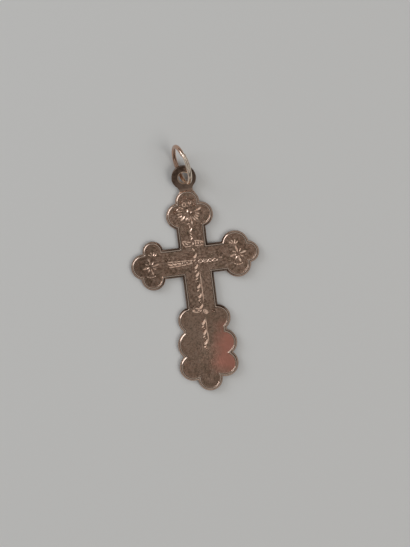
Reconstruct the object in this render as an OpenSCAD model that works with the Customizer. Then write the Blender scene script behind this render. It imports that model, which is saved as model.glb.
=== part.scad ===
/* [Cross] */
// Reach of the top trefoil from the crossing to its tip
top_reach = 11.05; // [10.9:0.05:12.5]
// Reach of the scalloped foot from the crossing to its tip
foot_reach = 21.05; // [20.8:0.05:23]
// Reach of the left arm
left_reach = 10.25; // [10:0.05:11.5]
// Reach of the right arm
right_reach = 10.1; // [9.9:0.05:11.5]
// Width of the beam above the crossing
upper_w = 4.6; // [4:0.05:5]
// Width of the beam below the crossing
lower_w = 4.9; // [4.2:0.05:5.2]
// Width of the arms
arm_w = 4.65; // [4:0.05:4.9]

/* [Plate] */
// Thickness of the flat field inside the rim
field_t = 0.8; // [0.8:0.05:1.2]
// Rise of the rim's crest above the field
rim_rise = 0.15; // [0.12:0.01:0.25]
// Height of the upright part of the edge
edge_h = 0.72; // [0.6:0.01:0.76]
// Width of the slope from the edge up to the crest
bevel_w = 0.32; // [0.2:0.01:0.34]
// Width of the rim's crest
crest_w = 0.08; // [0.06:0.01:0.12]
// Width of the slope from the crest down to the field
inner_w = 0.2; // [0.12:0.01:0.22]
// Bevel along the back edge
back_bevel = 0.08; // [0.04:0.01:0.15]

/* [Eyelet] */
// Radius of the round tab
eyelet_r = 1.92; // [1.8:0.02:2.1]
// Radius of the hole in the tab
hole_r = 0.88; // [0.86:0.01:1]
// Thickness of the tab
eyelet_t = 0.7; // [0.6:0.05:0.75]
// Upward bend of the tab, in degrees
eyelet_bend = 18.7; // [18:0.1:20]
// Distance from the bend to the middle of the hole
eyelet_run = 2.25; // [2.2:0.01:2.3]
// Width of the neck at its narrowest
neck_w = 2.1; // [1.8:0.05:2.4]
// Widening of the hole's two mouths
hole_bevel = 0.12; // [0.05:0.01:0.2]

/* [Jump ring] */
// Diameter of the wire
wire_d = 0.65; // [0.55:0.01:0.66]
// Radius from the ring's middle to the middle of the wire
ring_r = 2.88; // [2.86:0.01:2.9]
// Lean of the ring from the ground, in degrees
ring_lean = 74.2; // [74:0.1:74.5]
// Turn of the ring about the upright axis, in degrees
ring_turn = 14; // [13.8:0.1:14.2]
// Width of the cut through the wire
ring_cut = 0.1; // [0.05:0.01:0.15]

/* [Engraving] */
// Depth of the graver's cuts below the field
cut_deep = 0.1; // [0.05:0.01:0.14]
// Depth of the fine lines
line_deep = 0.05; // [0.03:0.01:0.08]

/* [Hidden] */
$fn = 72;

crest_z = field_t + rim_rise;
rim_w = bevel_w + crest_w + inner_w;
over = 1;

// Beams' middle lines, a little off the axis as the hand-made piece has them
upper_x = -0.14;
lower_x = 0.1;
left_y = -0.17;
right_y = 0;

// Lobes of each end: [distance back from the tip, place across, radius]
top_lobes = [[1.9, -0.18, 1.9], [3.98, -1.7, 2.08], [4.03, 1.62, 1.98]];
left_lobes = [[2.04, -0.19, 2.04], [3.67, 2.1, 1.64], [3.3, -2.12, 1.86]];
right_lobes = [[1.7, 0.24, 1.7], [3.65, 1.64, 2.18], [3.55, -1.38, 2.04]];
foot_lobes = [
    [1.88, -0.12, 1.88],
    [4.07, -2.46, 2.2],
    [4.17, 2.52, 2.08],
    [7.6, -1.94, 2.54],
    [7.5, 2.71, 2.1],
    [11.5, -1.8, 2.16],
    [11.48, 2.22, 2.06]
];
lobes = concat(
    [for (l = top_lobes) [l[1], top_reach - l[0], l[2]]],
    [for (l = left_lobes) [l[0] - left_reach, l[1], l[2]]],
    [for (l = right_lobes) [right_reach - l[0], l[1], l[2]]],
    [for (l = foot_lobes) [l[1], l[0] - foot_reach, l[2]]]
);

// Where each beam ends among the lobes, and where its hollow ends, back from the tip
top_end = 3.3;
top_hollow_end = 2.7;
left_end = 3.4;
left_hollow_end = 2.8;
right_end = 3;
right_hollow_end = 2.8;
foot_end = 10.7;
foot_hollow_end = 10.6;
// How far the hollows of the beams run past the crossing
cross_lap = 0.5;

// The foot's middle between its side lobes, and the stem of its tip
core_w = 6.9;
core_in_w = 5.6;
core_x = 0.1;
core_top = 11.6 - foot_reach;
core_low = 4.1 - foot_reach;
stem_w = 3.6;
stem_x = -0.12;
stem_low = 1.95 - foot_reach;
stem_lap = 1;
core_hollow_gap = 0.2;
stem_hollow_gap = 0.1;

// Eyelet and ring
bend_y = top_reach - 0.05;
eyelet_x = -0.26;
neck_x = -0.15;
ring_x = -0.3;
ring_y = bend_y + 3.87;
ring_z = ring_r * sin(ring_lean) + wire_d / 2;
ring_cut_turn = 24;

// The model's place: middle of its outer box, standing on its back
ring_top = ring_y + ring_r * sqrt(1 - pow(sin(ring_lean) * sin(ring_turn), 2)) + wire_d / 2;
shift_x = (left_reach - right_reach) / 2;
shift_y = (foot_reach - ring_top) / 2;

module place() {
    translate([shift_x, shift_y, 0])
        children();
}

// Outer form of one lobe: upright edge, then the slope to the crest
module lobe_body(r) {
    rotate_extrude()
        polygon([
            [0, 0],
            [r - back_bevel, 0],
            [r, back_bevel],
            [r, edge_h],
            [r - bevel_w, crest_z],
            [0, crest_z]
        ]);
}

// What is taken out of a lobe to leave its rim
module lobe_hollow(r) {
    inner = r - rim_w;
    rotate_extrude()
        polygon([
            [0, field_t],
            [inner, field_t],
            [inner + inner_w, crest_z],
            [inner + inner_w, crest_z + over],
            [0, crest_z + over]
        ]);
}

// Section across a beam of width w
module beam_section(w) {
    h = w / 2;
    polygon([
        [back_bevel - h, 0],
        [h - back_bevel, 0],
        [h, back_bevel],
        [h, edge_h],
        [h - bevel_w, crest_z],
        [bevel_w - h, crest_z],
        [-h, edge_h],
        [-h, back_bevel]
    ]);
}

module hollow_section(w) {
    h = w / 2 - rim_w;
    polygon([
        [-h, field_t],
        [h, field_t],
        [h + inner_w, crest_z],
        [h + inner_w, crest_z + over],
        [-h - inner_w, crest_z + over],
        [-h - inner_w, crest_z]
    ]);
}

// A section run along Y or along X
module along_y(x, from, to) {
    translate([x, to, 0])
        rotate([90, 0, 0])
            linear_extrude(to - from)
                children();
}

module along_x(y, from, to) {
    translate([from, y, 0])
        rotate([90, 0, 90])
            linear_extrude(to - from)
                children();
}

module plate_body() {
    for (l = lobes)
        translate([l[0], l[1], 0])
            lobe_body(l[2]);
    along_y(upper_x, 0, top_reach - top_end)
        beam_section(upper_w);
    along_y(lower_x, foot_end - foot_reach, 0)
        beam_section(lower_w);
    along_x(left_y, left_end - left_reach, 0)
        beam_section(arm_w);
    along_x(right_y, 0, right_reach - right_end)
        beam_section(arm_w);
    along_y(core_x, core_low, core_top)
        beam_section(core_w);
    along_y(stem_x, stem_low, core_low + stem_lap)
        beam_section(stem_w);
}

module plate_hollow() {
    for (l = lobes)
        translate([l[0], l[1], 0])
            lobe_hollow(l[2]);
    along_y(upper_x, -cross_lap, top_reach - top_hollow_end)
        hollow_section(upper_w);
    along_y(lower_x, foot_hollow_end - foot_reach, cross_lap)
        hollow_section(lower_w);
    along_x(left_y, left_hollow_end - left_reach, cross_lap)
        hollow_section(arm_w);
    along_x(right_y, -cross_lap, right_reach - right_hollow_end)
        hollow_section(arm_w);
    along_y(core_x, core_low + core_hollow_gap, core_top - core_hollow_gap)
        hollow_section(core_in_w);
    along_y(stem_x, stem_low + stem_hollow_gap, core_low + stem_lap)
        hollow_section(stem_w);
}

// Half of the neck, which flares into the round tab along an arc tangent to it
module neck_side(s) {
    waist_r = 0.9;
    edge_x = neck_x + s * neck_w / 2;
    arc_x = edge_x + s * waist_r;
    arc_y = eyelet_run - sqrt(pow(eyelet_r + waist_r, 2) - pow(arc_x - eyelet_x, 2));
    share = waist_r / (eyelet_r + waist_r);
    meet_x = arc_x + share * (eyelet_x - arc_x);
    meet_y = arc_y + share * (eyelet_run - arc_y);
    difference() {
        linear_extrude(eyelet_t)
            polygon([
                [neck_x, 0],
                [edge_x, 0],
                [edge_x, arc_y],
                [meet_x, arc_y],
                [meet_x, meet_y],
                [eyelet_x, eyelet_run],
                [neck_x, eyelet_run]
            ]);
        translate([arc_x, arc_y, -over])
            cylinder(r = waist_r, h = eyelet_t + 2 * over);
    }
}

// The tab lies level up to the bend and slopes upward past it
module eyelet() {
    neck_back = 1.4;
    difference() {
        union() {
            translate([neck_x - neck_w / 2, bend_y - neck_back, 0])
                cube([neck_w, neck_back, eyelet_t]);
            translate([0, bend_y, 0])
                rotate([eyelet_bend, 0, 0]) {
                    translate([eyelet_x, eyelet_run, 0])
                        cylinder(r = eyelet_r, h = eyelet_t);
                    neck_side(-1);
                    neck_side(1);
                }
        }
        translate([0, bend_y, 0])
            rotate([eyelet_bend, 0, 0])
                translate([eyelet_x, eyelet_run, 0])
                    rotate_extrude()
                        polygon([
                            [0, -over],
                            [hole_r + hole_bevel + over, -over],
                            [hole_r, hole_bevel],
                            [hole_r, eyelet_t - hole_bevel],
                            [hole_r + hole_bevel + over, eyelet_t + over],
                            [0, eyelet_t + over]
                        ]);
    }
}

// A graver's cut: a long lozenge, vee-shaped across and pointed at both ends.
// turn is its direction, lean tips the vee to one side.
module cut(x, y, turn, len, wid, lean = 0) {
    mouth = 0.04;
    grow = (cut_deep + mouth) / cut_deep;
    a = len / 2 * grow;
    b = wid / 2 * grow;
    points = [[-a, 0, mouth], [0, -b, mouth], [a, 0, mouth], [0, b, mouth], [0, 0, -cut_deep]];
    sides = [for (k = [0 : 3]) [k, (k + 1) % 4, 4]];
    translate([x, y, field_t])
        rotate([lean, 0, turn])
            polyhedron(points, concat(sides, [[3, 2, 1, 0]]));
}

// A round punch mark
module dot(x, y, r) {
    translate([x, y, field_t + r * 0.35])
        sphere(r = r);
}

// A small punched ring
module eye(x, y, r) {
    translate([x, y, field_t])
        rotate_extrude()
            translate([r, 0])
                circle(r = line_deep * 1.4);
}

// A fine scored line
module line(x, y, turn, len) {
    translate([x, y, field_t])
        rotate([0, 0, turn])
            rotate([45, 0, 0])
                cube([len, line_deep * 1.4, line_deep * 1.4], center = true);
}

// Half rosette on the top trefoil: rays fan out below and to both sides
module rosette() {
    hub_x = -0.3;
    hub_y = 7.6;
    // Rays: [direction, distance of the middle from the hub, length, width]
    rays = [
        [172, 1.3, 1.1, 0.22],
        [188, 1.35, 1.1, 0.22],
        [205, 1.3, 1.05, 0.24],
        [222, 1.4, 1.3, 0.32],
        [243, 1.05, 0.8, 0.28],
        [262, 1.2, 0.8, 0.22],
        [287, 1.25, 1.1, 0.26],
        [304, 1.4, 1.1, 0.26],
        [320, 1.55, 1.2, 0.24],
        [338, 1.55, 1.1, 0.22],
        [355, 1.45, 1.0, 0.22],
        [13, 1.8, 1.3, 0.36]
    ];
    for (r = rays)
        cut(hub_x + r[1] * cos(r[0]), hub_y + r[1] * sin(r[0]), r[0], r[2], r[3]);
    cut(hub_x - 0.05, hub_y + 0.15, 60, 0.6, 0.34);
    for (t = [60, 100, 140])
        cut(-1.5 + 0.55 * cos(t), 8.05 + 0.35 * sin(t), t + 90, 0.55, 0.2);
    for (p = [[-0.5, 9.85], [-1.1, 9.2], [0.8, 9.3], [-2.25, 7.85], [0.75, 8.6]])
        dot(p[0], p[1], 0.15);
    eye(-0.72, 8.78, 0.24);
    eye(0.2, 9.1, 0.2);
}

// Two small flared panels across the upper beam
module board() {
    for (s = [-1, 1])
        translate([0.88 * s - 0.08, 2.65, 0]) {
            cut(0, 0.4, -s * 8, 1.35, 0.18);
            cut(0, -0.42, 0, 1.35, 0.18);
            cut(-s * 0.5, 0, 90 + s * 12, 0.55, 0.2);
            cut(s * 0.02, 0, 90 - s * 35, 0.55, 0.24);
            cut(s * 0.5, -0.02, 90 - s * 30, 0.55, 0.2);
        }
}

// One turn of the engraved rope: a broad slanting cut, a small one and a pit
module rope_turn(x, y) {
    cut(x, y, 60, 1.1, 0.42, 12);
    cut(x - 0.22, y - 0.62, 45, 0.5, 0.24);
    dot(x - 0.08, y - 1, 0.17);
}

// The rope runs down the long beam and on into the foot, with a fine line beside it
module rope() {
    for (k = [0 : 4])
        rope_turn(-0.1, 0.55 - 1.64 * k);
    for (k = [0 : 2])
        rope_turn(-0.05, -9.95 - 1.5 * k);
    line(0.34, -3.1, 90, 8.6);
    line(0.36, -11.6, 90, 4.6);
    for (k = [0 : 2])
        cut(-0.25, 4.85 - 0.68 * k, 62, 0.7, 0.28);
    cut(-0.35, 5.75, 8, 0.7, 0.24);
}

// Leafy band along both arms, between two fine lines
module main_bar() {
    leaf_step = 0.74;
    for (s = [-1, 1]) {
        for (k = [0 : 4])
            cut(s * (0.85 + leaf_step * k), -0.22, s * (24 - 48 * (k % 2)), 0.72, 0.3);
        line(s * 2.3, 0.18, 0, 3.4);
        line(s * 2.2, -0.62, 0, 3.2);
    }
    dot(-4.55, 0.25, 0.16);
    dot(4.1, 0.4, 0.15);
}

// Slanting bar at the head of the foot
module lower_bar() {
    translate([-0.3, -8.1, 0])
        rotate([0, 0, -14]) {
            cut(-0.95, 0.16, 10, 0.9, 0.26);
            cut(-0.75, -0.26, 4, 1.0, 0.22);
            cut(0.95, 0.2, -16, 0.9, 0.24);
            cut(1.1, -0.2, 26, 0.8, 0.3);
            cut(0.25, -0.34, 0, 0.7, 0.18);
        }
    dot(-1.45, -7.35, 0.16);
    dot(1.7, -8.35, 0.17);
}

// Eight-pointed star with a spray of leaves above it and three marks below
module star(x, y, side) {
    ray_at = 0.74;
    translate([x, y, 0]) {
        for (k = [0 : 7])
            let (t = 45 * k + 12)
                cut(ray_at * cos(t), ray_at * sin(t), t, k % 2 == 0 ? 0.9 : 0.6, 0.26);
        dot(0, 0, 0.16);
        for (t = [-34, 0, 34])
            cut(side * 0.5 + 0.85 * sin(t), 1.5 + 0.7 * cos(t), 90 - t, 0.75, 0.24);
        for (k = [-1 : 1])
            dot(side * 0.1 + 0.55 * k, 0.12 * abs(k) - 1.75, 0.14);
        dot(side * -1.35, 0.55, 0.14);
    }
}

module engraving() {
    rosette();
    board();
    rope();
    main_bar();
    lower_bar();
    star(-7.1, -0.2, 1);
    star(6.7, 0.2, -1);
}

module cross() {
    color("rosybrown")
        place()
            difference() {
                union() {
                    difference() {
                        plate_body();
                        plate_hollow();
                    }
                    eyelet();
                }
                engraving();
            }
}

module jump_ring() {
    color("peru")
        place()
            translate([ring_x, ring_y, ring_z])
                rotate([0, -ring_lean, ring_turn])
                    difference() {
                        rotate_extrude()
                            translate([ring_r, 0])
                                circle(d = wire_d);
                        rotate([0, 0, ring_cut_turn])
                            translate([ring_r, 0, 0])
                                cube([2 * wire_d, ring_cut, 2 * wire_d], center = true);
                    }
}

cross();
jump_ring();
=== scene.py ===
import math
import bpy
from mathutils import Matrix, Vector


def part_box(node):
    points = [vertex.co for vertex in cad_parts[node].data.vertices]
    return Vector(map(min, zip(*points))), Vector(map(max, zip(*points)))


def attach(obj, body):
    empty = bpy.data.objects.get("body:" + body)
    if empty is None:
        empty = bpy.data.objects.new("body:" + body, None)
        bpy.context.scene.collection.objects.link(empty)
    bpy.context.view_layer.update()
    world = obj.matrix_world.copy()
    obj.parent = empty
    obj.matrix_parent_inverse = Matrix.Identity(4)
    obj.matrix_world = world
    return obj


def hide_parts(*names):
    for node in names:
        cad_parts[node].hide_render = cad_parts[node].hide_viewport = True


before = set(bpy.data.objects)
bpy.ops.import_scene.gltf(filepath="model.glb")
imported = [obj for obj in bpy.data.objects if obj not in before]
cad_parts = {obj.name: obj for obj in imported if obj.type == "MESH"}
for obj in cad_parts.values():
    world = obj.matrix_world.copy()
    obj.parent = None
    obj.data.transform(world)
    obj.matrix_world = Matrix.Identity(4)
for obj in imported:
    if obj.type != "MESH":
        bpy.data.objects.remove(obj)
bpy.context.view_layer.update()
print("frame loaded")

# Everything is modelled in millimetres round the crossing of the two beams,
# then scaled to metres and set where the frame has the crossing.
mm = 0.001
footReach = 21.05  # from the crossing down to the tip of the foot
armReach = 10.1  # from the crossing to the tip of the right arm
crossLow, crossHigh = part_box("cross")
crossing = Vector((crossHigh.x - armReach * mm, crossLow.y + footReach * mm, crossLow.z))


def dropSelection():
    active = bpy.context.view_layer.objects.active
    if active and active.mode != "OBJECT":
        bpy.ops.object.mode_set(mode="OBJECT")
    bpy.ops.object.select_all(action="DESELECT")


def pick(*pieces):
    dropSelection()
    for piece in pieces:
        piece.select_set(True)
    bpy.context.view_layer.objects.active = pieces[0]


def settle(piece):
    # turn, size and place go into the mesh
    pick(piece)
    bpy.ops.object.transform_apply(location=True, rotation=True, scale=True)
    return piece


def join(pieces):
    pick(*pieces)
    if len(pieces) > 1:
        bpy.ops.object.join()
    return bpy.context.object


def copyOf(piece):
    twin = piece.copy()
    twin.data = piece.data.copy()
    bpy.context.collection.objects.link(twin)
    return twin


def boolean(piece, tool, how):
    # adds or cuts the tool, which is then deleted
    pick(piece)
    change = piece.modifiers.new("change", "BOOLEAN")
    change.operation = how
    change.solver = "MANIFOLD"
    change.object = tool
    bpy.ops.object.modifier_apply(modifier=change.name)
    bpy.data.objects.remove(tool)


def addBox(left, right, low, high, bottom, top):
    dropSelection()
    middle = ((left + right) / 2, (low + high) / 2, (bottom + top) / 2)
    bpy.ops.mesh.primitive_cube_add(size=1, location=middle)
    box = bpy.context.object
    box.scale = (right - left, high - low, top - bottom)
    return settle(box)


def addDisc(x, y, radius, bottom, top, sides=112):
    dropSelection()
    bpy.ops.mesh.primitive_cylinder_add(vertices=sides, radius=radius, depth=top - bottom,
                                        location=(x, y, (bottom + top) / 2))
    return settle(bpy.context.object)


def editAll(piece):
    # opens edit mode with everything selected
    pick(piece)
    bpy.ops.object.mode_set(mode="EDIT")
    bpy.ops.mesh.select_all(action="SELECT")


def editSome(piece, kind, wanted):
    # opens edit mode with only the wanted faces or points selected
    pick(piece)
    bpy.ops.object.mode_set(mode="EDIT")
    bpy.ops.mesh.select_mode(type=kind)
    bpy.ops.mesh.select_all(action="DESELECT")
    bpy.ops.object.mode_set(mode="OBJECT")
    for item in piece.data.polygons if kind == "FACE" else piece.data.vertices:
        item.select = wanted(item)
    bpy.ops.object.mode_set(mode="EDIT")


meshing = {
    # faces within this angle are joined, and points this near are merged, before the edges are worn
    "flatDegrees": 0.5,
    "outlineMerge": 0.02,
    # points this near are merged in the finished mesh
    "merge": 0.0005,
    # a face whose normal has this much rise is one of the piece's level ones
    "levelRise": 0.9,
    # faces this level, or with this many square millimetres, are shaded flat
    "flatRise": 0.9995,
    "broad": 0.25,
}


def cleanOutline(piece):
    editAll(piece)
    bpy.ops.mesh.dissolve_limited(angle_limit=math.radians(meshing["flatDegrees"]))
    bpy.ops.mesh.remove_doubles(threshold=meshing["outlineMerge"])
    bpy.ops.object.mode_set(mode="OBJECT")


def softenEdges(piece, width, degrees, segments=2, clamp=True):
    # wears the edges that are sharper than the angle
    pick(piece)
    soft = piece.modifiers.new("soft", "BEVEL")
    soft.width = width
    soft.segments = segments
    soft.limit_method = "ANGLE"
    soft.angle_limit = math.radians(degrees)
    soft.use_clamp_overlap = clamp
    bpy.ops.object.modifier_apply(modifier=soft.name)


def finishMesh(piece, name, degrees):
    # closes the mesh, turns its faces outwards and sets it into the frame
    piece.name = name
    piece.data.name = name
    editAll(piece)
    bpy.ops.mesh.remove_doubles(threshold=meshing["merge"])
    bpy.ops.mesh.dissolve_degenerate(threshold=meshing["merge"])
    bpy.ops.mesh.normals_make_consistent(inside=False)
    bpy.ops.object.mode_set(mode="OBJECT")
    bpy.ops.object.shade_smooth_by_angle(angle=math.radians(degrees))
    # level and broad faces stay flat, so that no shade runs across them
    editSome(piece, "FACE", lambda face: abs(face.normal.z) > meshing["flatRise"]
             or face.area > meshing["broad"])
    bpy.ops.mesh.faces_shade_flat()
    # in triangles, so that no two faces are split along the same line later
    bpy.ops.mesh.select_all(action="SELECT")
    bpy.ops.mesh.quads_convert_to_tris(quad_method="BEAUTY", ngon_method="BEAUTY")
    bpy.ops.object.mode_set(mode="OBJECT")
    piece.scale = (mm, mm, mm)
    piece.location = crossing
    settle(piece)


plate = {
    "backHeight": 0.08,
    "edgeHeight": 0.6,
    "rimHeight": 0.949,
    "fieldHeight": 0.8,
    # the rim from outside in: a steep edge, a gentler slope, a narrow crest and a slope down to the field
    "edgeWidth": 0.19,
    "edgeRise": 0.25,
    "slopeWidth": 0.14,
    "crest": 0.1,
    "innerSlope": 0.12,
    # how wide the edges are worn round, and the sharpest angle that is left alone
    "wear": 0.034,
    "wearDegrees": 18,
    # edges up to this angle are shaded smooth
    "smoothDegrees": 24,
    # lobes: x, y, radius
    "lobes": [
        (-0.18, 9.15, 1.9), (-1.7, 7.07, 2.08), (1.62, 7.02, 1.98),
        (-8.206, -0.19, 2.04), (-6.56, 2.04, 1.62), (-6.97, -2.15, 1.89),
        (8.4, 0.24, 1.7), (6.45, 1.64, 2.18), (6.55, -1.43, 2.1),
        (-1.8, -9.55, 2.16), (2.25, -9.58, 2.11),
        (-1.94, -13.45, 2.54), (2.77, -13.6, 2.16),
        (-2.46, -16.98, 2.2), (2.61, -16.94, 2.14),
        (-0.02, -19.09, 1.96),
    ],
    # beams: left, right, low, high
    "beams": [
        (-2.44, 2.16, -1, 7.75), (-2.35, 2.55, -10.35, 1),
        (-6.85, 1, -2.495, 2.155), (-1, 7.1, -2.325, 2.325),
        (-3.35, 3.55, -16.95, -9.45), (-1.92, 1.88, -19.05, -15.95),
    ],
}


def makePlate():
    bottom = plate["backHeight"]
    top = plate["edgeHeight"]
    shapes = [addDisc(x, y, radius, bottom, top) for x, y, radius in plate["lobes"]]
    shapes += [addBox(*beam, bottom, top) for beam in plate["beams"][1:]]
    piece = addBox(*plate["beams"][0], bottom, top)
    for shape in shapes:
        boolean(piece, shape, "UNION")
    cleanOutline(piece)
    # raise the rim and sink the field inside it
    editSome(piece, "FACE", lambda face: face.normal.z > meshing["levelRise"])
    rise = plate["rimHeight"] - plate["edgeHeight"] - plate["edgeRise"]
    sink = plate["rimHeight"] - plate["fieldHeight"]
    bpy.ops.mesh.inset(thickness=plate["edgeWidth"], depth=plate["edgeRise"], use_even_offset=True)
    bpy.ops.mesh.inset(thickness=plate["slopeWidth"], depth=rise, use_even_offset=True)
    bpy.ops.mesh.inset(thickness=plate["crest"], depth=0, use_even_offset=True)
    bpy.ops.mesh.inset(thickness=plate["innerSlope"], depth=-sink, use_even_offset=True)
    # the back is reached by a small slope all round
    editSome(piece, "FACE", lambda face: face.normal.z < -meshing["levelRise"])
    bpy.ops.mesh.inset(thickness=bottom, depth=bottom, use_even_offset=True)
    bpy.ops.object.mode_set(mode="OBJECT")
    softenEdges(piece, plate["wear"], plate["wearDegrees"], segments=3)
    return piece


tab = {
    "bottom": 0.03,
    "top": 0.7,
    # the round of the tab, and how far it lies past the bend
    "radius": 1.92,
    "middleX": -0.26,
    "run": 2.25,
    # the hole and its worn mouth: how far that widens, and how deep
    "holeRadius": 0.84,
    "holeSides": 80,
    "mouth": 0.12,
    "mouthDepth": 0.07,
    # the neck, from inside the plate to inside the round
    "neckX": -0.15,
    "neckWidth": 2.1,
    "neckBack": -1.4,
    "neckEnd": 0.6,
    # the flare beside the neck, which a waist cuts round on each side
    "flareLow": -0.6,
    "flareTop": 0.94,
    "flareSide": 0.36,
    "flareTrim": 0.06,
    "waistRadius": 0.9,
    # how far cutting tools stand out of the sheet
    "through": 1,
    "wear": 0.09,
    "wearDegrees": 50,
    # the bend in degrees, its height on the cross, and the places along the sheet where it bends
    "bend": 18.7,
    "bendY": 11.0,
    "bendAt": [-0.3, -0.1, 0.1, 0.3],
}


def makeTab():
    # flat first, with the bend line at y = 0, then bent upwards in small steps
    bottom = tab["bottom"]
    top = tab["top"]
    half = tab["neckWidth"] / 2
    flareSide = half + tab["flareSide"]
    flareLeft = tab["neckX"] - flareSide
    flareRight = tab["neckX"] + flareSide - tab["flareTrim"]
    low = bottom - tab["through"]
    high = top + tab["through"]
    piece = addDisc(tab["middleX"], tab["run"], tab["radius"], bottom, top, sides=144)
    neck = addBox(tab["neckX"] - half, tab["neckX"] + half, tab["neckBack"], tab["neckEnd"], bottom, top)
    boolean(piece, neck, "UNION")
    flare = addBox(flareLeft, flareRight, tab["flareLow"], tab["flareTop"], bottom, top)
    reach = tab["radius"] + tab["waistRadius"]
    for side in (-1, 1):
        arcX = tab["neckX"] + side * (half + tab["waistRadius"])
        arcY = tab["run"] - math.sqrt(reach ** 2 - (arcX - tab["middleX"]) ** 2)
        waist = addDisc(arcX, arcY, tab["waistRadius"], low, high, sides=64)
        boolean(flare, waist, "DIFFERENCE")
    boolean(piece, flare, "UNION")
    hole = addDisc(tab["middleX"], tab["run"], tab["holeRadius"], low, high, sides=tab["holeSides"])
    boolean(piece, hole, "DIFFERENCE")
    for face, side in ((bottom, -1), (top, 1)):
        boolean(piece, addMouth(face, side), "DIFFERENCE")
    cleanOutline(piece)
    # the thin corners where the arcs meet would clamp this to almost nothing
    softenEdges(piece, tab["wear"], tab["wearDegrees"], segments=4, clamp=False)
    for place in tab["bendAt"]:
        editAll(piece)
        bpy.ops.mesh.bisect(plane_co=(0, place, 0), plane_no=(0, 1, 0))
    step = math.radians(tab["bend"]) / len(tab["bendAt"])
    for count in range(len(tab["bendAt"])):
        bendOnce(piece, bendPoint(count, step), count * step, step)
    bpy.ops.object.mode_set(mode="OBJECT")
    piece.location.y = tab["bendY"]
    return settle(piece)


def addMouth(face, side):
    # cone that widens the hole towards one face of the tab
    dropSelection()
    spare = 0.1  # how far the cone runs past each end of the mouth
    flare = tab["mouth"] / tab["mouthDepth"] * spare
    wide = tab["holeRadius"] + tab["mouth"] + flare
    narrow = tab["holeRadius"] - flare
    low, high = (narrow, wide) if side > 0 else (wide, narrow)
    place = (tab["middleX"], tab["run"], face - side * tab["mouthDepth"] / 2)
    bpy.ops.mesh.primitive_cone_add(vertices=tab["holeSides"], radius1=low, radius2=high,
                                    depth=tab["mouthDepth"] + 2 * spare, location=place)
    return settle(bpy.context.object)


def bendOnce(piece, edge, turned, step):
    # turns what lies past a bend line; edge holds that line's y and z
    ahead = Vector((math.cos(turned), math.sin(turned)))
    editSome(piece, "VERT", lambda point:
             (point.co.y - edge.x) * ahead.x + (point.co.z - edge.y) * ahead.y > -1e-4)
    bpy.ops.transform.rotate(value=-step, orient_axis="X", orient_type="GLOBAL",
                             center_override=(0, edge.x, edge.y))


def bendPoint(count, step):
    # y and z of a bend line once the bends before it have been made
    place = Vector((tab["bendAt"][0], 0))
    for earlier in range(count):
        run = tab["bendAt"][earlier + 1] - tab["bendAt"][earlier]
        turn = (earlier + 1) * step
        place = place + Vector((math.cos(turn), math.sin(turn))) * run
    return place


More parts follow.
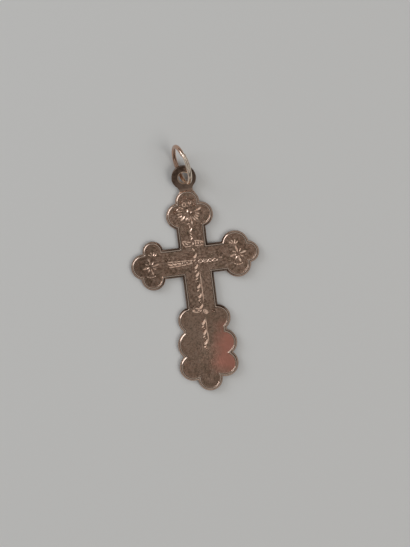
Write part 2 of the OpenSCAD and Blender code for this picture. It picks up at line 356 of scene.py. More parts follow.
engraving = {
    # depth of a cut for each millimetre of its width: shallow cuts are the brighter ones
    "depths": {"rosette": 0.34, "upperBeam": 0.3, "board": 0.29, "mainBar": 0.32, "lowerBar": 0.24},
    # a cut's tool is a cone on its tip: its sides, the part that stays above the field,
    # and how the tip is moved
    "toolSides": 6,
    "mouth": 0.35,
    "strokeTip": (-0.12, 0.06, 0),
    "dropTip": (0.16, 0.14, 0),
    # strokes of the graver: from x, y to x, y, width
    "rosette": [
        (-0.9, 7.0, -1.6, 6.28, 0.34), (-0.45, 6.85, -0.8, 6.25, 0.3), (-1.3, 7.12, -1.95, 6.88, 0.24),
        (-1.2, 7.42, -2.1, 7.35, 0.24), (-1.1, 7.72, -1.95, 7.9, 0.24), (-0.15, 6.8, -0.3, 6.2, 0.2),
        (0.08, 6.85, 0.16, 5.5, 0.3), (0.32, 6.8, 0.78, 6.1, 0.24), (0.58, 6.92, 1.22, 6.2, 0.26),
        (0.75, 7.18, 1.35, 6.6, 0.24), (0.85, 7.42, 1.55, 7.08, 0.24), (0.75, 7.65, 1.95, 8.08, 0.42),
        (-0.6, 7.5, -0.22, 8.05, 0.4), (-0.02, 7.4, 0.28, 7.66, 0.26),
        (-2.15, 7.98, -1.72, 8.32, 0.22), (-1.72, 8.36, -1.3, 8.42, 0.2), (-1.3, 8.4, -0.95, 8.12, 0.2),
        (-0.75, 5.72, -0.2, 5.8, 0.24), (-0.3, 5.6, -0.3, 4.95, 0.16),
    ],
    "upperBeam": [
        (0.02, 5.05, -0.42, 4.38, 0.26), (-0.42, 4.34, -0.05, 3.95, 0.2), (-0.38, 3.95, -0.12, 3.55, 0.26),
        (-0.1, 3.55, -0.4, 3.15, 0.2), (-0.05, 2.8, -0.2, 2.3, 0.2), (-0.3, 1.9, 0.0, 1.3, 0.24),
    ],
    "board": [
        (-1.75, 3.1, -1.05, 2.95, 0.2), (-1.1, 2.96, -0.35, 2.74, 0.2), (-1.74, 3.0, -1.5, 2.3, 0.18),
        (-1.5, 2.24, -0.9, 2.2, 0.18), (-0.95, 2.2, -0.35, 2.25, 0.16), (-1.3, 2.8, -0.85, 2.4, 0.22),
        (0.12, 3.02, 1.15, 2.96, 0.2), (1.1, 2.96, 1.58, 2.5, 0.18), (0.15, 2.2, 0.85, 2.18, 0.18),
        (0.85, 2.18, 1.5, 2.32, 0.18), (0.36, 2.95, 0.3, 2.3, 0.2), (0.72, 2.88, 0.76, 2.34, 0.2),
        (1.0, 2.85, 1.2, 2.4, 0.16),
    ],
    "mainBar": [
        (-4.5, 0.1, -3.4, 0.06, 0.2), (-3.45, 0.06, -2.3, 0.02, 0.2), (-2.35, 0.02, -1.3, 0.0, 0.2),
        (-1.35, 0.0, -0.4, -0.08, 0.22),
        (-4.35, -0.74, -3.3, -0.7, 0.2), (-3.35, -0.7, -2.3, -0.64, 0.2), (-2.35, -0.64, -1.4, -0.58, 0.2),
        (-1.45, -0.58, -0.45, -0.42, 0.2),
        (-4.4, -0.12, -3.65, -0.5, 0.34), (-3.75, -0.12, -3.0, -0.46, 0.4),
        (-3.05, -0.12, -2.25, -0.42, 0.36),
        (-2.3, -0.4, -2.0, -0.14, 0.2), (-1.6, -0.18, -1.25, -0.4, 0.24), (-0.95, -0.2, -0.6, -0.32, 0.2),
        (3.65, 0.0, 3.95, -0.14, 0.16), (3.92, -0.14, 4.25, -0.06, 0.16),
    ],
    "lowerBar": [
        (-1.0, -7.66, 0.0, -7.86, 0.24), (-1.55, -8.02, -1.05, -7.94, 0.3), (-1.4, -8.16, -0.3, -8.36, 0.22),
        (0.22, -7.9, 0.34, -8.7, 0.16), (0.34, -8.0, 0.95, -8.3, 0.2), (0.42, -8.3, 1.0, -8.6, 0.36),
        (-0.7, -7.98, -0.2, -8.1, 0.2), (0.4, -8.62, 0.85, -8.72, 0.16),
    ],
    # fine lines along the right of the rope, and their width and depth
    "fineLines": [(0.43, -1.9, 0.45, -7.4), (0.43, -9.3, 0.45, -14.0)],
    "fineWidth": 0.15,
    "fineDepth": 0.045,
    # beads are left standing by a ring-shaped groove: x, y. Half its width is a share of its radius,
    # its middle lies a little over the field, and it has this many sides along and round
    "beads": [
        (-0.5, 9.85), (-1.05, 9.25), (0.2, 9.35), (0.8, 9.3), (0.78, 8.6), (-2.35, 7.75),
        (-4.55, 0.42), (4.09, 0.36), (-1.45, -7.36), (1.7, -8.35),
    ],
    "beadRadius": 0.17,
    "beadGroove": 0.55,
    "beadLift": 0.01,
    "beadSides": (18, 10),
    # eyes are finer grooves: x, y, radius. Half the width is in mm
    "eyes": [(-0.75, 8.8, 0.28), (0.15, 9.0, 0.2)],
    "eyeGroove": 0.075,
    "eyeLift": 0.015,
    "eyeSides": (24, 8),
    # pits: x, y
    "pits": [(0.15, 9.0), (-1.85, -0.25), (-0.3, 8.55), (1.42, -0.3), (0.3, -0.26), (-0.12, -14.15)],
    "pitRadius": 0.17,
    # how far the middle of a pit's ball lies above the field, as a share of its radius
    "pitLift": 0.25,
}


def moveTip(unit, shift):
    # the tip is the only point near z = -1
    editSome(unit, "VERT", lambda point: point.co.z < -0.9)
    bpy.ops.transform.translate(value=shift)
    bpy.ops.object.mode_set(mode="OBJECT")


def makeStroke():
    # unit cut: one long, one wide and one deep below z = 0, deepest behind its middle
    dropSelection()
    mouth = engraving["mouth"]
    sides = engraving["toolSides"]
    bpy.ops.mesh.primitive_cone_add(vertices=sides, radius1=0, radius2=0.5 * (1 + mouth), depth=1 + mouth,
                                    location=(0, 0, (mouth - 1) / 2),
                                    rotation=(0, 0, math.radians(180 / sides)))
    unit = settle(bpy.context.object)
    moveTip(unit, engraving["strokeTip"])
    return unit


def makeDrop():
    # unit drop: a broad wall on one side and a steep one on the other
    unit = makeStroke()
    moveTip(unit, engraving["dropTip"])
    return unit


def placeStroke(unit, start, end, width, depth):
    stroke = copyOf(unit)
    run = Vector(end) - Vector(start)
    middle = (Vector(end) + Vector(start)) / 2
    stroke.scale = (run.length, width, depth)
    stroke.rotation_euler = (0, 0, math.atan2(run.y, run.x))
    stroke.location = (middle.x, middle.y, plate["fieldHeight"])
    return stroke


# the rope on the upright, and its end on the foot: broad drops from the top down,
# with a small drop and a pit under each
rope = {
    # a broad drop of size 1, and where the small drop stands under it
    "dropTurn": 60,
    "dropLength": 0.95,
    "dropWidth": 0.5,
    "smallX": -0.2,
    "smallBelow": 0.68,
    "stretches": [
        {
            "heights": [0.6, -1.1, -2.35, -4.2, -5.75, -7.45], "depth": 0.3,
            "dropX": 0.0, "dropSize": 1.0, "smallSize": 0.5, "smallTurn": 40,
            "pitX": -0.1, "pitBelow": 1.08, "pitRadius": 0.13,
        },
        {
            "heights": [-10.0, -11.6, -13.2], "depth": 0.34,
            "dropX": 0.03, "dropSize": 1.15, "smallSize": 0.55, "smallTurn": 35,
            "pitX": -0.05, "pitBelow": 0.98, "pitRadius": 0.16,
        },
    ],
}


def placeDrop(unit, x, y, depth, size, degrees):
    turn = math.radians(degrees)
    half = rope["dropLength"] * size / 2
    reach = Vector((math.cos(turn), math.sin(turn))) * half
    middle = Vector((x, y))
    width = rope["dropWidth"] * size
    return placeStroke(unit, middle - reach, middle + reach, width, depth * width)


def ropeTools(drop, stretch):
    depth = stretch["depth"]
    tools = []
    for y in stretch["heights"]:
        tools.append(placeDrop(drop, stretch["dropX"], y, depth, stretch["dropSize"], rope["dropTurn"]))
        tools.append(placeDrop(drop, rope["smallX"], y - rope["smallBelow"], depth,
                               stretch["smallSize"], stretch["smallTurn"]))
        tools.append(placePit(stretch["pitX"], y - stretch["pitBelow"], stretch["pitRadius"]))
    return tools


def placeGroove(x, y, radius, halfWidth, lift, sides):
    dropSelection()
    bpy.ops.mesh.primitive_torus_add(major_radius=radius, minor_radius=halfWidth,
                                     major_segments=sides[0], minor_segments=sides[1],
                                     location=(x, y, plate["fieldHeight"] + lift))
    return bpy.context.object


def placePit(x, y, radius):
    dropSelection()
    height = plate["fieldHeight"] + radius * engraving["pitLift"]
    bpy.ops.mesh.primitive_uv_sphere_add(segments=16, ring_count=10, radius=radius,
                                         location=(x, y, height))
    return bpy.context.object


# a generic star on each arm end, with a spray of leaves over it and a curl under it
star = {
    # x, y, and the side to which the leaves stand
    "places": [(-7.15, -0.25, 1), (6.75, 0.15, -1)],
    "depth": 0.32,
    "rays": 8,
    "turn": 12,
    # from, to and width of a long ray and of a short one
    "rayCuts": [(0.28, 1.45, 0.34), (0.34, 1.0, 0.26)],
    "leafTurns": [-52, -18, 18, 52],
    "leafX": 0.5,
    "leafY": 1.42,
    "leafLength": 0.95,
    # the cut starts this share of the way up a leaf
    "leafStart": 0.25,
    "leafWidth": 0.27,
    "curl": [(-0.85, -1.42), (-0.5, -1.62), (-0.1, -1.7), (0.3, -1.64), (0.65, -1.45)],
    "curlWidth": 0.2,
}


def starStrokes(x, y, side):
    strokes = []
    for k in range(star["rays"]):
        turn = math.radians(360 / star["rays"] * k + star["turn"])
        near, far, width = star["rayCuts"][k % 2]
        ray = Vector((math.cos(turn), math.sin(turn)))
        strokes.append((x + ray.x * near, y + ray.y * near, x + ray.x * far, y + ray.y * far, width))
    for turn in star["leafTurns"]:
        lean = math.radians(90 - turn)
        root = Vector((x + side * star["leafX"], y + star["leafY"]))
        tip = root + Vector((math.cos(lean), math.sin(lean))) * star["leafLength"]
        start = root + (tip - root) * star["leafStart"]
        strokes.append((start.x, start.y, tip.x, tip.y, star["leafWidth"]))
    curl = star["curl"]
    for first, second in zip(curl, curl[1:]):
        strokes.append((x + first[0], y + first[1], x + second[0], y + second[1], star["curlWidth"]))
    return strokes


# two wavy lines that cross at each link, on the right of the main bar
chain = {
    "left": 0.35,
    "right": 3.4,
    "middle": -0.26,
    "rise": 0.3,
    "links": 4,
    # cuts to a link, and how far along one reaches
    "cuts": 4,
    "cutReach": 1.15,
    # towards its right end the chain sinks by this much, and loses this share of its rise
    "sink": 0.1,
    "narrowing": 0.35,
    "width": 0.22,
    "depth": 0.28,
}


def chainPoint(side, step):
    # x and y of a wavy line after this many cuts
    share = step / (chain["links"] * chain["cuts"])
    wave = side * chain["rise"] * math.sin(math.pi * share * chain["links"])
    height = wave * (1 - chain["narrowing"] * share)
    x = chain["left"] + (chain["right"] - chain["left"]) * share
    return x, chain["middle"] - chain["sink"] * share + height


def chainStrokes():
    strokes = []
    for k in range(chain["links"] * chain["cuts"]):
        for side in (-1, 1):
            start = chainPoint(side, k)
            strokes.append((*start, *chainPoint(side, k + chain["cutReach"]), chain["width"]))
    return strokes


def groupApart(tools):
    # cutters that don't touch each other can be joined and cut at once
    groups = []
    for tool in tools:
        reach = max((tool.matrix_basis @ point.co - tool.location).length for point in tool.data.vertices)
        for group in groups:
            gaps = [(tool.location - other.location).length - size for other, size in group]
            if min(gaps) > reach:
                group.append((tool, reach))
                break
        else:
            groups.append([(tool, reach)])
    return [[tool for tool, reach in group] for group in groups]


def engrave(piece):
    unit = makeStroke()
    drop = makeDrop()
    groups = [(engraving[name], depth) for name, depth in engraving["depths"].items()]
    groups += [(starStrokes(*place), star["depth"]) for place in star["places"]]
    groups.append((chainStrokes(), chain["depth"]))
    tools = []
    for strokes, depth in groups:
        for x1, y1, x2, y2, width in strokes:
            tools.append(placeStroke(unit, (x1, y1), (x2, y2), width, depth * width))
    for stretch in rope["stretches"]:
        tools += ropeTools(drop, stretch)
    radius = engraving["beadRadius"]
    halfWidth = radius * engraving["beadGroove"]
    for x, y in engraving["beads"]:
        tools.append(placeGroove(x, y, radius, halfWidth, engraving["beadLift"], engraving["beadSides"]))
    halfWidth = engraving["eyeGroove"]
    for x, y, radius in engraving["eyes"]:
        tools.append(placeGroove(x, y, radius, halfWidth, engraving["eyeLift"], engraving["eyeSides"]))
    for x, y in engraving["pits"]:
        tools.append(placePit(x, y, engraving["pitRadius"]))
    for x1, y1, x2, y2 in engraving["fineLines"]:
        tools.append(placeStroke(unit, (x1, y1), (x2, y2), engraving["fineWidth"], engraving["fineDepth"]))
    bpy.data.objects.remove(unit)
    bpy.data.objects.remove(drop)
    for group in groupApart(tools):
        boolean(piece, join(group), "DIFFERENCE")


def makeCross():
    piece = makePlate()
    print("plate", len(piece.data.polygons), "faces")
    engrave(piece)
    print("engraved", len(piece.data.polygons), "faces")
    # the tab is soldered on
    boolean(piece, makeTab(), "UNION")
    finishMesh(piece, "engraved_cross", plate["smoothDegrees"])
    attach(piece, "root")
    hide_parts("cross")
    print("cross", len(piece.data.polygons), "faces")
    return piece


ring = {
    "radius": 2.88,
    "wire": 0.649,
    "segments": 160,
    "wireSides": 24,
    "smoothDegrees": 40,
    # how it stands in the eyelet: lean and turn in degrees, and the place of its middle
    "lean": 74.2,
    "turn": 14,
    "x": -0.3,
    "y": 14.87,
    # the cut, in degrees round the ring, and the wear of its edges
    "cutAt": 24,
    "cutWear": 0.05,
    "wearDegrees": 50,
    # how the end past the cut has sprung, and how far round the ring that reaches
    "endDegrees": 2,
    "springIn": 0.2,
    "springUp": 0.04,
    "springReach": 3.5,
}


def fromCut(place):
    # degrees round the ring from the cut
    return math.degrees(math.atan2(place.y, place.x)) - ring["cutAt"]


def makeRing():
    dropSelection()
    bpy.ops.mesh.primitive_torus_add(major_radius=ring["radius"], minor_radius=ring["wire"] / 2,
                                     major_segments=ring["segments"], minor_segments=ring["wireSides"])
    piece = bpy.context.object
    # one segment is taken out, and both ends are closed and worn
    halfSegment = 180 / ring["segments"]
    editSome(piece, "FACE", lambda face: abs(fromCut(face.center)) < halfSegment)
    bpy.ops.mesh.delete(type="FACE")
    bpy.ops.mesh.select_all(action="SELECT")
    bpy.ops.mesh.fill_holes(sides=0)
    bpy.ops.object.mode_set(mode="OBJECT")
    softenEdges(piece, ring["cutWear"], ring["wearDegrees"])
    # the end past the cut springs a little inwards
    cut = math.radians(ring["cutAt"])
    spring = (-ring["springIn"] * math.cos(cut), -ring["springIn"] * math.sin(cut), ring["springUp"])
    editSome(piece, "VERT", lambda point: 0 < fromCut(point.co) < ring["endDegrees"])
    bpy.ops.transform.translate(value=spring, use_proportional_edit=True, use_proportional_connected=True,
                                proportional_edit_falloff="SMOOTH", proportional_size=ring["springReach"])
    bpy.ops.object.mode_set(mode="OBJECT")
    piece.rotation_euler = (0, -math.radians(ring["lean"]), math.radians(ring["turn"]))
    height = ring["radius"] * math.sin(math.radians(ring["lean"])) + ring["wire"] / 2
    piece.location = (ring["x"], ring["y"], height)
    settle(piece)
    finishMesh(piece, "wire_ring", ring["smoothDegrees"])
    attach(piece, "root")
    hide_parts("jump_ring")
    print("ring", len(piece.data.polygons), "faces")
    return piece


def addNode(tree, kind, inputs=None, **settings):
    # inputs holds a number, a colour or another node's output for each socket
    made = tree.nodes.new(kind)
    for name, value in settings.items():
        setattr(made, name, value)
    for socket, value in (inputs or {}).items():
        if isinstance(value, bpy.types.NodeSocket):
            tree.links.new(value, made.inputs[socket])
        else:
            made.inputs[socket].default_value = value
    return made


def sums(tree, how, first, second=0.0):
    return addNode(tree, "ShaderNodeMath", {0: first, 1: second}, operation=how).outputs[0]


def times(tree, first, second):
    return sums(tree, "MULTIPLY", first, second)


def vectors(tree, how, first, second=None):
    # sums on vectors: the length and the dot product come out as numbers
    inputs = {0: first} if second is None else {0: first, 1: second}
    made = addNode(tree, "ShaderNodeVectorMath", inputs, operation=how)
    return made.outputs[1 if how in ("LENGTH", "DOT_PRODUCT") else 0]


def axes(tree, vector):
    return addNode(tree, "ShaderNodeSeparateXYZ", {0: vector}).outputs


def mask(tree, value, low, high, start=0.0, end=1.0):
    # start where the value is low, end where it is high, and even steps between
    inputs = {0: value, 1: low, 2: high, 3: start, 4: end}
    return addNode(tree, "ShaderNodeMapRange", inputs).outputs[0]


def crossFade(tree, amount, first, second):
    # the first where the amount is 0, the second where it is 1
    return mask(tree, amount, 0.0, 1.0, first, second)


def blendColour(tree, amount, first, second):
    return addNode(tree, "ShaderNodeMix", {0: amount, 6: first, 7: second}, data_type="RGBA").outputs[2]


def noise(tree, coords, scale, detail, rough):
    inputs = {"Vector": coords, "Scale": scale, "Detail": detail, "Roughness": rough}
    return addNode(tree, "ShaderNodeTexNoise", inputs).outputs[0]


def objectCoords(tree):
    # millimetres round the crossing
    place = addNode(tree, "ShaderNodeTexCoord").outputs["Object"]
    shifted = vectors(tree, "SUBTRACT", place, crossing)
    inputs = {0: shifted, "Scale": 1 / mm}
    return addNode(tree, "ShaderNodeVectorMath", inputs, operation="SCALE").outputs[0]


def turned(tree, coords, degrees, size):
    # turns first and stretches then, so that streaks run in the turned direction
    inputs = {"Vector": coords, "Rotation": (0, 0, math.radians(degrees)), "Scale": size}
    return addNode(tree, "ShaderNodeMapping", inputs, vector_type="TEXTURE").outputs[0]


def newMetal(name):
    material = bpy.data.materials.new(name)
    material.use_nodes = True
    shader = material.node_tree.nodes["Principled BSDF"]
    shader.inputs["Metallic"].default_value = 1.0
    return material, material.node_tree, shader


def addRelief(tree, shader, relief, depth):
    bump = addNode(tree, "ShaderNodeBump", {"Height": relief, "Strength": 1.0, "Distance": depth * mm})
    tree.links.new(bump.outputs[0], shader.inputs["Normal"])


# The colours come first. Rows of two or four numbers are for masks: the two values between which
# one fades, and the amounts there where they aren't 0 and 1.
gold = {
    "clean": (0.85, 0.5, 0.355, 1),
    # worn tone, also used as painted shade on the ring
    "wornAndShaded": (0.6, 0.385, 0.285, 1),
    "olive": (0.44, 0.32, 0.22, 1),
    # grime, also used as painted shade on steep edges, inside the beams' rim and on the tab
    "grimeAndShade": (0.13, 0.08, 0.055, 1),
    "copper": (0.97, 0.41, 0.31, 1),
    "pale": (0.87, 0.63, 0.49, 1),
    "rim": (0.66, 0.47, 0.37, 1),
    # cream, also used as a painted highlight on the ring's right side
    "creamAndHighlight": (0.97, 0.83, 0.69, 1),
    # noises: scale, detail, roughness
    "cloudy": (0.55, 5.0, 0.62),
    "flecks": (3.6, 4.0, 0.65),
    "grain": (3.0, 2.0, 0.55),
    "mottle": (1.9, 3.0, 0.6),
    "waves": (0.55, 1.0, 0.5),
    # zones: how far up a face looks, and heights over the back
    "flatFacing": (0.985, 0.998),
    "fieldTop": (0.86, 0.82),
    "crestFoot": (0.92, 0.94),
    "cutsTop": (0.79, 0.74),
    # zones: places across and along the cross
    "beamsEnd": (-9.2, -8.2),
    "sideLobes": (4.4, 5.0),
    "topLobes": (5.0, 5.6),
    "footLobes": (-8.0, -8.6),
    # tones of the field
    "wornClouds": (0.36, 0.66),
    "oliveMottle": (0.46, 0.62, 0.0, 0.9),
    "paleMottle": (0.5, 0.36, 0.0, 0.85),
    "uprightSides": (4.5, 2.4),
    "uprightRubbed": (0.0, -3.0, 0.1, 0.3),
    "leftFootSide": (1.5, -1.5),
    "leftFootTop": (-7.6, -9.2),
    "leftFootRubbed": (-16.5, -12, 0.0, 0.35),
    "spots": (0.5, 0.66, 0.0, 0.6),
    "pores": (0.52, 0.7, 0.0, 0.6),
    "rubbed": (0.5, 0.34, 0.0, 0.65),
    "dullLeftEnd": (-5.6, -7.8, 0.0, 0.42),
    "fanGrime": 0.5,
    "scratchShine": 0.45,
    # tones of the rim and the cuts
    "brightFlecks": (0.45, 0.75),
    "dullLeftCuts": (-5.2, -6.2, 0.0, 0.4),
    "rimFoot": (0.8, 0.84),
    # painted shade: on faces this steep, and how thick the flecks leave it
    "lobeSteep": (0.7, 0.6),
    "lobeEdgeShade": (0.3, 0.7, 0.6, 0.85),
    "beamSteep": (0.86, 0.8),
    "beamEdgeShade": (0.3, 0.7, 0.88, 0.98),
    # painted shade inside the rim of the beams
    "innerFoot": (0.83, 0.86),
    "innerTop": (0.92, 0.89),
    "innerFacing": (0.94, 0.97),
    "innerShade": 0.6,
    # painted shade on the tab, and the rubbed mouth of its hole
    "tabStart": (10.8, 11.2),
    "tabShade": (11.2, 12.8, 0.4, 0.74),
    "tabShadeMottle": (0.4, 0.62, 0.0, 0.24),
    "holeCentre": (-0.26, 12.93, 1.35),
    "holeRubbed": (1.02, 0.98),
    # copper patch on the foot
    "patchStart": (2.0, -12.0, 0),
    "patchSide": (0.96, -0.28, 0),
    "patchDown": (-0.35, -1, 0),
    "patchRagged": (0.3, 0.7, -0.6, 0.6),
    "patchInwards": (-0.9, 1.3),
    "patchTop": (-2.8, -1.0),
    "patchFoot": (7.2, 4.8),
    "patchColour": 0.85,
    # fine scratches: direction in degrees and size of each set
    "scratchSets": [(12, 1.0), (63, 0.8), (104, 1.2), (151, 0.9)],
    "scratchLong": 1.1,
    "scratchWide": 0.07,
    "scratchThin": (0.62, 0.74),
    # brush marks on the foot
    "fanCentre": (0.3, -9.5, 0),
    "fanAcross": 34.0,
    "fanAway": 0.45,
    "fanLines": (0.38, 0.66),
    "fanStart": (3.2, 5.0),
    "fanSides": (0.42, 0.22),
    # roughness
    "polishRoughness": 0.15,
    "fieldRoughness": 0.22,
    "patchRoughness": 0.38,
    "crestRoughness": 0.36,
    "cloudyRoughness": (0.3, 0.7, -0.05, 0.07),
    "cutPolish": 0.03,
    # relief in steps of reliefDepth, which is in mm
    "reliefDepth": 0.006,
    "scratchRelief": -0.35,
    "fleckRelief": (0.1, 0.9),
    "fanRelief": -4.0,
    "waveRelief": 6.0,
    "grainRelief": (4.0, 12.0),
}


def scratchField(tree, coords):
    # fine scratches in several directions, as wear leaves them
    total = None
    for degrees, size in gold["scratchSets"]:
        stretch = (gold["scratchLong"] * size, gold["scratchWide"] * size, 1)
        lines = noise(tree, turned(tree, coords, degrees, stretch), 1.0, 2.0, 0.6)
        thin = mask(tree, lines, *gold["scratchThin"])
        total = thin if total is None else sums(tree, "MAXIMUM", total, thin)
    return total


def fanLines(tree, coords):
    # brush marks that spread out down the foot
    moved = vectors(tree, "SUBTRACT", coords, gold["fanCentre"])
    across, up = axes(tree, moved)[:2]
    angle = sums(tree, "ARCTAN2", across, times(tree, up, -1.0))
    away = vectors(tree, "LENGTH", moved)
    inputs = {0: times(tree, angle, gold["fanAcross"]), 1: times(tree, away, gold["fanAway"])}
    polar = addNode(tree, "ShaderNodeCombineXYZ", inputs).outputs[0]
    lines = mask(tree, noise(tree, polar, 1.0, 3.0, 0.6), *gold["fanLines"])
    onFoot = mask(tree, away, *gold["fanStart"])
    inside = mask(tree, sums(tree, "ABSOLUTE", angle), *gold["fanSides"])
    return times(tree, lines, times(tree, onFoot, inside))


def copperPatch(tree, coords, cloudy):
    # right of a slanting line on the foot, and between two heights
    moved = vectors(tree, "SUBTRACT", coords, gold["patchStart"])
    inwards = vectors(tree, "DOT_PRODUCT", moved, gold["patchSide"])
    down = vectors(tree, "DOT_PRODUCT", moved, gold["patchDown"])
    ragged = sums(tree, "ADD", inwards, mask(tree, cloudy, *gold["patchRagged"]))
    patch = times(tree, mask(tree, ragged, *gold["patchInwards"]), mask(tree, down, *gold["patchTop"]))
    return times(tree, patch, mask(tree, down, *gold["patchFoot"]))


def rubbedPlaces(tree, across, along):
    # the upright and the left of the foot are rubbed cleaner than the arms
    upright = mask(tree, sums(tree, "ABSOLUTE", across), *gold["uprightSides"])
    cleaner = times(tree, upright, mask(tree, along, *gold["uprightRubbed"]))
    leftFoot = times(tree, mask(tree, across, *gold["leftFootSide"]), mask(tree, along, *gold["leftFootTop"]))
    leftFoot = times(tree, leftFoot, mask(tree, along, *gold["leftFootRubbed"]))
    return sums(tree, "ADD", cleaner, leftFoot)


def fieldColour(tree, across, along, onBeams, fan, noises):
    # the toned field
    mottle, grain = noises["mottle"], noises["grain"]
    colour = blendColour(tree, mask(tree, noises["cloudy"], *gold["wornClouds"]), gold["clean"], gold["wornAndShaded"])
    colour = blendColour(tree, mask(tree, mottle, *gold["oliveMottle"]), colour, gold["olive"])
    colour = blendColour(tree, mask(tree, mottle, *gold["paleMottle"]), colour, gold["pale"])
    colour = blendColour(tree, rubbedPlaces(tree, across, along), colour, gold["pale"])
    colour = blendColour(tree, mask(tree, noises["flecks"], *gold["spots"]), colour, gold["grimeAndShade"])
    # the beams are rougher than the foot
    pores = times(tree, onBeams, mask(tree, grain, *gold["pores"]))
    colour = blendColour(tree, pores, colour, gold["grimeAndShade"])
    rubbed = times(tree, onBeams, mask(tree, grain, *gold["rubbed"]))
    colour = blendColour(tree, rubbed, colour, gold["pale"])
    # the left end is the dullest
    colour = blendColour(tree, mask(tree, across, *gold["dullLeftEnd"]), colour, gold["grimeAndShade"])
    return blendColour(tree, times(tree, fan, gold["fanGrime"]), colour, gold["grimeAndShade"])


def brightColour(tree, across, height, onCrest, flecks):
    # the polished rim and the bright cuts are paler than the field
    colour = blendColour(tree, mask(tree, flecks, *gold["brightFlecks"]), gold["pale"], gold["clean"])
    colour = blendColour(tree, mask(tree, across, *gold["dullLeftCuts"]), colour, gold["grimeAndShade"])
    colour = blendColour(tree, mask(tree, height, *gold["rimFoot"]), colour, gold["rim"])
    return blendColour(tree, onCrest, colour, gold["creamAndHighlight"])


def addPaintedShade(tree, colour, across, along, height, facing, flecks):
    # painted shade, patchy with the flecks: thick along the edges of the beams, and thin on the steep edges
    # of the lobes
    wide = sums(tree, "ABSOLUTE", across)
    sideLobes = mask(tree, wide, *gold["sideLobes"])
    onLobes = sums(tree, "MAXIMUM", sideLobes, mask(tree, along, *gold["topLobes"]))
    onLobes = sums(tree, "MAXIMUM", onLobes, mask(tree, along, *gold["footLobes"]))
    lobeEdgeShade = times(tree, mask(tree, facing, *gold["lobeSteep"]), mask(tree, flecks, *gold["lobeEdgeShade"]))
    beamEdgeShade = times(tree, mask(tree, facing, *gold["beamSteep"]), mask(tree, flecks, *gold["beamEdgeShade"]))
    colour = blendColour(tree, crossFade(tree, onLobes, beamEdgeShade, lobeEdgeShade), colour, gold["grimeAndShade"])
    # and painted shade lies along the inside of the beams' rim
    inner = times(tree, mask(tree, height, *gold["innerFoot"]), mask(tree, height, *gold["innerTop"]))
    inner = times(tree, inner, mask(tree, facing, *gold["innerFacing"]))
    inner = times(tree, inner, crossFade(tree, onLobes, gold["innerShade"], 0.0))
    return blendColour(tree, inner, colour, gold["grimeAndShade"])


def tabColour(tree, colour, coords, along, mottle):
    # painted shade darkens the tab, more towards its top and patchy with the mottle
    tabShade = mask(tree, along, *gold["tabShade"])
    tabShade = sums(tree, "ADD", tabShade, mask(tree, mottle, *gold["tabShadeMottle"]))
    tabShade = times(tree, mask(tree, along, *gold["tabStart"]), tabShade)
    colour = blendColour(tree, tabShade, colour, gold["grimeAndShade"])
    # the ring has rubbed the mouth of the hole bright
    fromHole = vectors(tree, "LENGTH", vectors(tree, "SUBTRACT", coords, gold["holeCentre"]))
    return blendColour(tree, mask(tree, fromHole, *gold["holeRubbed"]), colour, gold["creamAndHighlight"])


def goldRoughness(tree, height, onField, onCrest, patch, cloudy):
    rough = crossFade(tree, onField, gold["polishRoughness"], gold["fieldRoughness"])
    rough = sums(tree, "ADD", rough, mask(tree, cloudy, *gold["cloudyRoughness"]))
    rough = crossFade(tree, patch, rough, gold["patchRoughness"])
    rough = crossFade(tree, onCrest, rough, gold["crestRoughness"])
    inCuts = mask(tree, height, *gold["cutsTop"])
    return sums(tree, "SUBTRACT", rough, times(tree, inCuts, gold["cutPolish"]))


def goldRelief(tree, onField, onBeams, scratches, fan, noises):
    relief = times(tree, scratches, gold["scratchRelief"])
    flecked = times(tree, noises["flecks"], crossFade(tree, onField, *gold["fleckRelief"]))
    relief = sums(tree, "ADD", relief, flecked)
    relief = sums(tree, "ADD", relief, times(tree, fan, gold["fanRelief"]))
    relief = sums(tree, "ADD", relief, times(tree, noises["waves"], gold["waveRelief"]))
    grainy = times(tree, onField, crossFade(tree, onBeams, *gold["grainRelief"]))
    return sums(tree, "ADD", relief, times(tree, noises["grain"], grainy))


def makeGold():
    material, tree, shader = newMetal("rose_gold_worn")
    coords = objectCoords(tree)
    across, along, height = axes(tree, coords)
    facing = axes(tree, addNode(tree, "ShaderNodeNewGeometry").outputs["Normal"])[2]
    noises = {name: noise(tree, coords, *gold[name])
              for name in ("cloudy", "flecks", "grain", "mottle", "waves")}
    scratches = scratchField(tree, coords)
    fan = fanLines(tree, coords)
    # zones of the plate
    flat = mask(tree, facing, *gold["flatFacing"])
    onField = times(tree, flat, mask(tree, height, *gold["fieldTop"]))
    onCrest = times(tree, flat, mask(tree, height, *gold["crestFoot"]))
    onBeams = mask(tree, along, *gold["beamsEnd"])
    patch = times(tree, copperPatch(tree, coords, noises["cloudy"]), onField)

    toned = fieldColour(tree, across, along, onBeams, fan, noises)
    bright = brightColour(tree, across, height, onCrest, noises["flecks"])
    colour = blendColour(tree, onField, bright, toned)
    shine = times(tree, scratches, times(tree, onField, gold["scratchShine"]))
    colour = blendColour(tree, shine, colour, gold["clean"])
    colour = blendColour(tree, times(tree, patch, gold["patchColour"]), colour, gold["copper"])
    # painted shade on the steep edges and along the inside of the beams' rim
    colour = addPaintedShade(tree, colour, across, along, height, facing, noises["flecks"])
    # painted shade on the tab
    colour = tabColour(tree, colour, coords, along, noises["mottle"])
    tree.links.new(colour, shader.inputs["Base Color"])
    rough = goldRoughness(tree, height, onField, onCrest, patch, noises["cloudy"])
    tree.links.new(rough, shader.inputs["Roughness"])
    relief = goldRelief(tree, onField, onBeams, scratches, fan, noises)
    addRelief(tree, shader, relief, gold["reliefDepth"])
    return material


# the ring has its colours from the gold above
wire = {
    "cloudy": (1.3, 4.0, 0.6),
    # marks of drawing along the wire: size of one, and noise
    "drawnSize": (0.11, 0.83, 0.11),
    "drawn": (1.5, 3.0, 0.6),
    # painted shade on the left and a painted highlight on the right, painted shade at the top, and worn in
    # clouds
    "shadeLeftLightRight": (-0.75, 0.1),
    "shadedTop": (15.9, 17.0),
    "wornClouds": (0.45, 0.7, 0.0, 0.8),
    "roughness": (0.3, 0.75, 0.1, 0.2),
    "reliefDepth": 0.003,
}


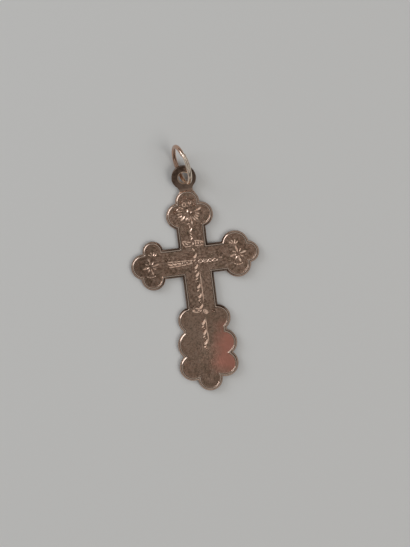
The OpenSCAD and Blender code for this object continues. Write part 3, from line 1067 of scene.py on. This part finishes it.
def makeWireGold():
    material, tree, shader = newMetal("rose_gold_wire")
    coords = objectCoords(tree)
    across, along = axes(tree, coords)[:2]
    cloudy = noise(tree, coords, *wire["cloudy"])
    drawn = noise(tree, turned(tree, coords, 0, wire["drawnSize"]), *wire["drawn"])
    # painted shade on the ring's left side and a painted highlight on its right
    colour = blendColour(tree, mask(tree, across, *wire["shadeLeftLightRight"]), gold["wornAndShaded"], gold["creamAndHighlight"])
    # painted shade over the ring's top
    colour = blendColour(tree, mask(tree, along, *wire["shadedTop"]), colour, gold["wornAndShaded"])
    colour = blendColour(tree, mask(tree, cloudy, *wire["wornClouds"]), colour, gold["wornAndShaded"])
    tree.links.new(colour, shader.inputs["Base Color"])
    tree.links.new(mask(tree, cloudy, *wire["roughness"]), shader.inputs["Roughness"])
    addRelief(tree, shader, drawn, wire["reliefDepth"])
    return material


def dress(piece, material):
    piece.data.materials.clear()
    piece.data.materials.append(material)


studio = {
    # the camera: focal length and frame in pixels, then its distance from the crossing in metres,
    # its tilt and roll in degrees, and where it aims beside the crossing, in metres
    "focalPixels": 804,
    "frameHeight": 547,
    "distance": 0.1275,
    "tilt": 3.0,
    "roll": 7.2,
    "aim": (0.00119, -0.00235),
    "floorSize": 3,
    "floorColour": (0.665, 0.655, 0.635, 1),
    "floorRoughness": 0.75,
    "floorShine": 0.2,
    # a pale room above a dim horizon, which is darkest on the right
    "skyRoom": (0.66, 0.66, 0.655, 1),
    "skyLow": (0.11, 0.107, 0.104, 1),
    "skyRight": (0.05, 0.05, 0.05, 1),
    "roomFoot": (0.42, 0.6),
    "rightWay": (1, 0.1, 0),
    "rightSpread": (0.4, 0.85),
    # a dark place overhead that leans to the foot's side, in degrees, with a lighter part at the lower right
    "skyDark": (0.128, 0.123, 0.117, 1),
    "skyDim": (0.185, 0.178, 0.17, 1),
    "darkLean": 13,
    "darkInner": 19,
    "darkOuter": 45,
    "dimWay": (0.7, -1, 0),
    "dimSpread": (0.0, 0.15),
    # lights: name, azimuth, elevation, distance, width, height, brightness, colour, mirrored in the metal
    "lights": [
        ("side_card", 144, 26, 0.5, 0.38, 0.2, 3.2, (0.93, 1.0, 1.08), True),
        ("window", 326, 54, 0.9, 0.55, 0.4, 3.3, (1.0, 1.0, 1.0), False),
    ],
}


def makeCamera():
    tilt = math.radians(studio["tilt"])
    place = crossing + Vector((0, math.sin(tilt), math.cos(tilt))) * studio["distance"]
    aim = crossing + Vector((*studio["aim"], plate["fieldHeight"] * mm))
    away = (place - aim).normalized()
    roll = math.radians(studio["roll"])
    right = Vector((math.cos(roll), -math.sin(roll), 0))
    right = (right - away * right.dot(away)).normalized()
    up = away.cross(right)
    data = bpy.data.cameras.new("camera")
    data.sensor_fit = "VERTICAL"
    data.sensor_height = 24
    data.lens = data.sensor_height * studio["focalPixels"] / studio["frameHeight"]
    data.clip_start = 0.005
    data.clip_end = 10
    camera = bpy.data.objects.new("camera", data)
    bpy.context.collection.objects.link(camera)
    camera.matrix_world = Matrix.Translation(place) @ Matrix((right, up, away)).transposed().to_4x4()
    bpy.context.scene.camera = camera


def makeFloor():
    dropSelection()
    bpy.ops.mesh.primitive_plane_add(size=studio["floorSize"], location=(crossing.x, crossing.y, 0))
    floor = bpy.context.object
    floor.name = "floor"
    material = bpy.data.materials.new("pale_floor")
    material.use_nodes = True
    shader = material.node_tree.nodes["Principled BSDF"]
    shader.inputs["Base Color"].default_value = studio["floorColour"]
    shader.inputs["Roughness"].default_value = studio["floorRoughness"]
    shader.inputs["Specular IOR Level"].default_value = studio["floorShine"]
    dress(floor, material)


def makeLights():
    for name, azimuth, elevation, distance, width, height, brightness, colour, mirrored in studio["lights"]:
        turn = math.radians(azimuth)
        rise = math.radians(elevation)
        away = Vector((math.cos(turn) * math.cos(rise), math.sin(turn) * math.cos(rise), math.sin(rise)))
        data = bpy.data.lights.new(name, "AREA")
        data.shape = "RECTANGLE"
        data.size = width
        data.size_y = height
        # an area light's watts that give this brightness over its face
        data.energy = brightness * width * height * math.pi
        data.color = colour
        light = bpy.data.objects.new(name, data)
        light.visible_glossy = mirrored
        bpy.context.collection.objects.link(light)
        light.location = crossing + away * distance
        light.rotation_euler = away.to_track_quat("Z", "Y").to_euler()


def makeSky():
    world = bpy.data.worlds.new("studio")
    bpy.context.scene.world = world
    world.use_nodes = True
    tree = world.node_tree
    background = tree.nodes["Background"]
    direction = addNode(tree, "ShaderNodeTexCoord").outputs["Generated"]
    up = axes(tree, direction)[2]
    side = vectors(tree, "DOT_PRODUCT", direction, studio["rightWay"])
    low = blendColour(tree, mask(tree, side, *studio["rightSpread"]), studio["skyLow"], studio["skyRight"])
    colour = blendColour(tree, mask(tree, up, *studio["roomFoot"]), low, studio["skyRoom"])
    leaning = vectors(tree, "DOT_PRODUCT", direction, studio["dimWay"])
    dark = blendColour(tree, mask(tree, leaning, *studio["dimSpread"]), studio["skyDark"], studio["skyDim"])
    lean = math.radians(studio["darkLean"])
    near = vectors(tree, "DOT_PRODUCT", direction, (0, -math.sin(lean), math.cos(lean)))
    inner = math.cos(math.radians(studio["darkInner"]))
    outer = math.cos(math.radians(studio["darkOuter"]))
    colour = blendColour(tree, mask(tree, near, outer, inner), colour, dark)
    tree.links.new(colour, background.inputs["Color"])


crossPiece = makeCross()
ringPiece = makeRing()
dress(crossPiece, makeGold())
dress(ringPiece, makeWireGold())
print("materials done")
makeFloor()
makeLights()
makeSky()
makeCamera()
bpy.context.scene.view_settings.view_transform = "Standard"
print("stage done")
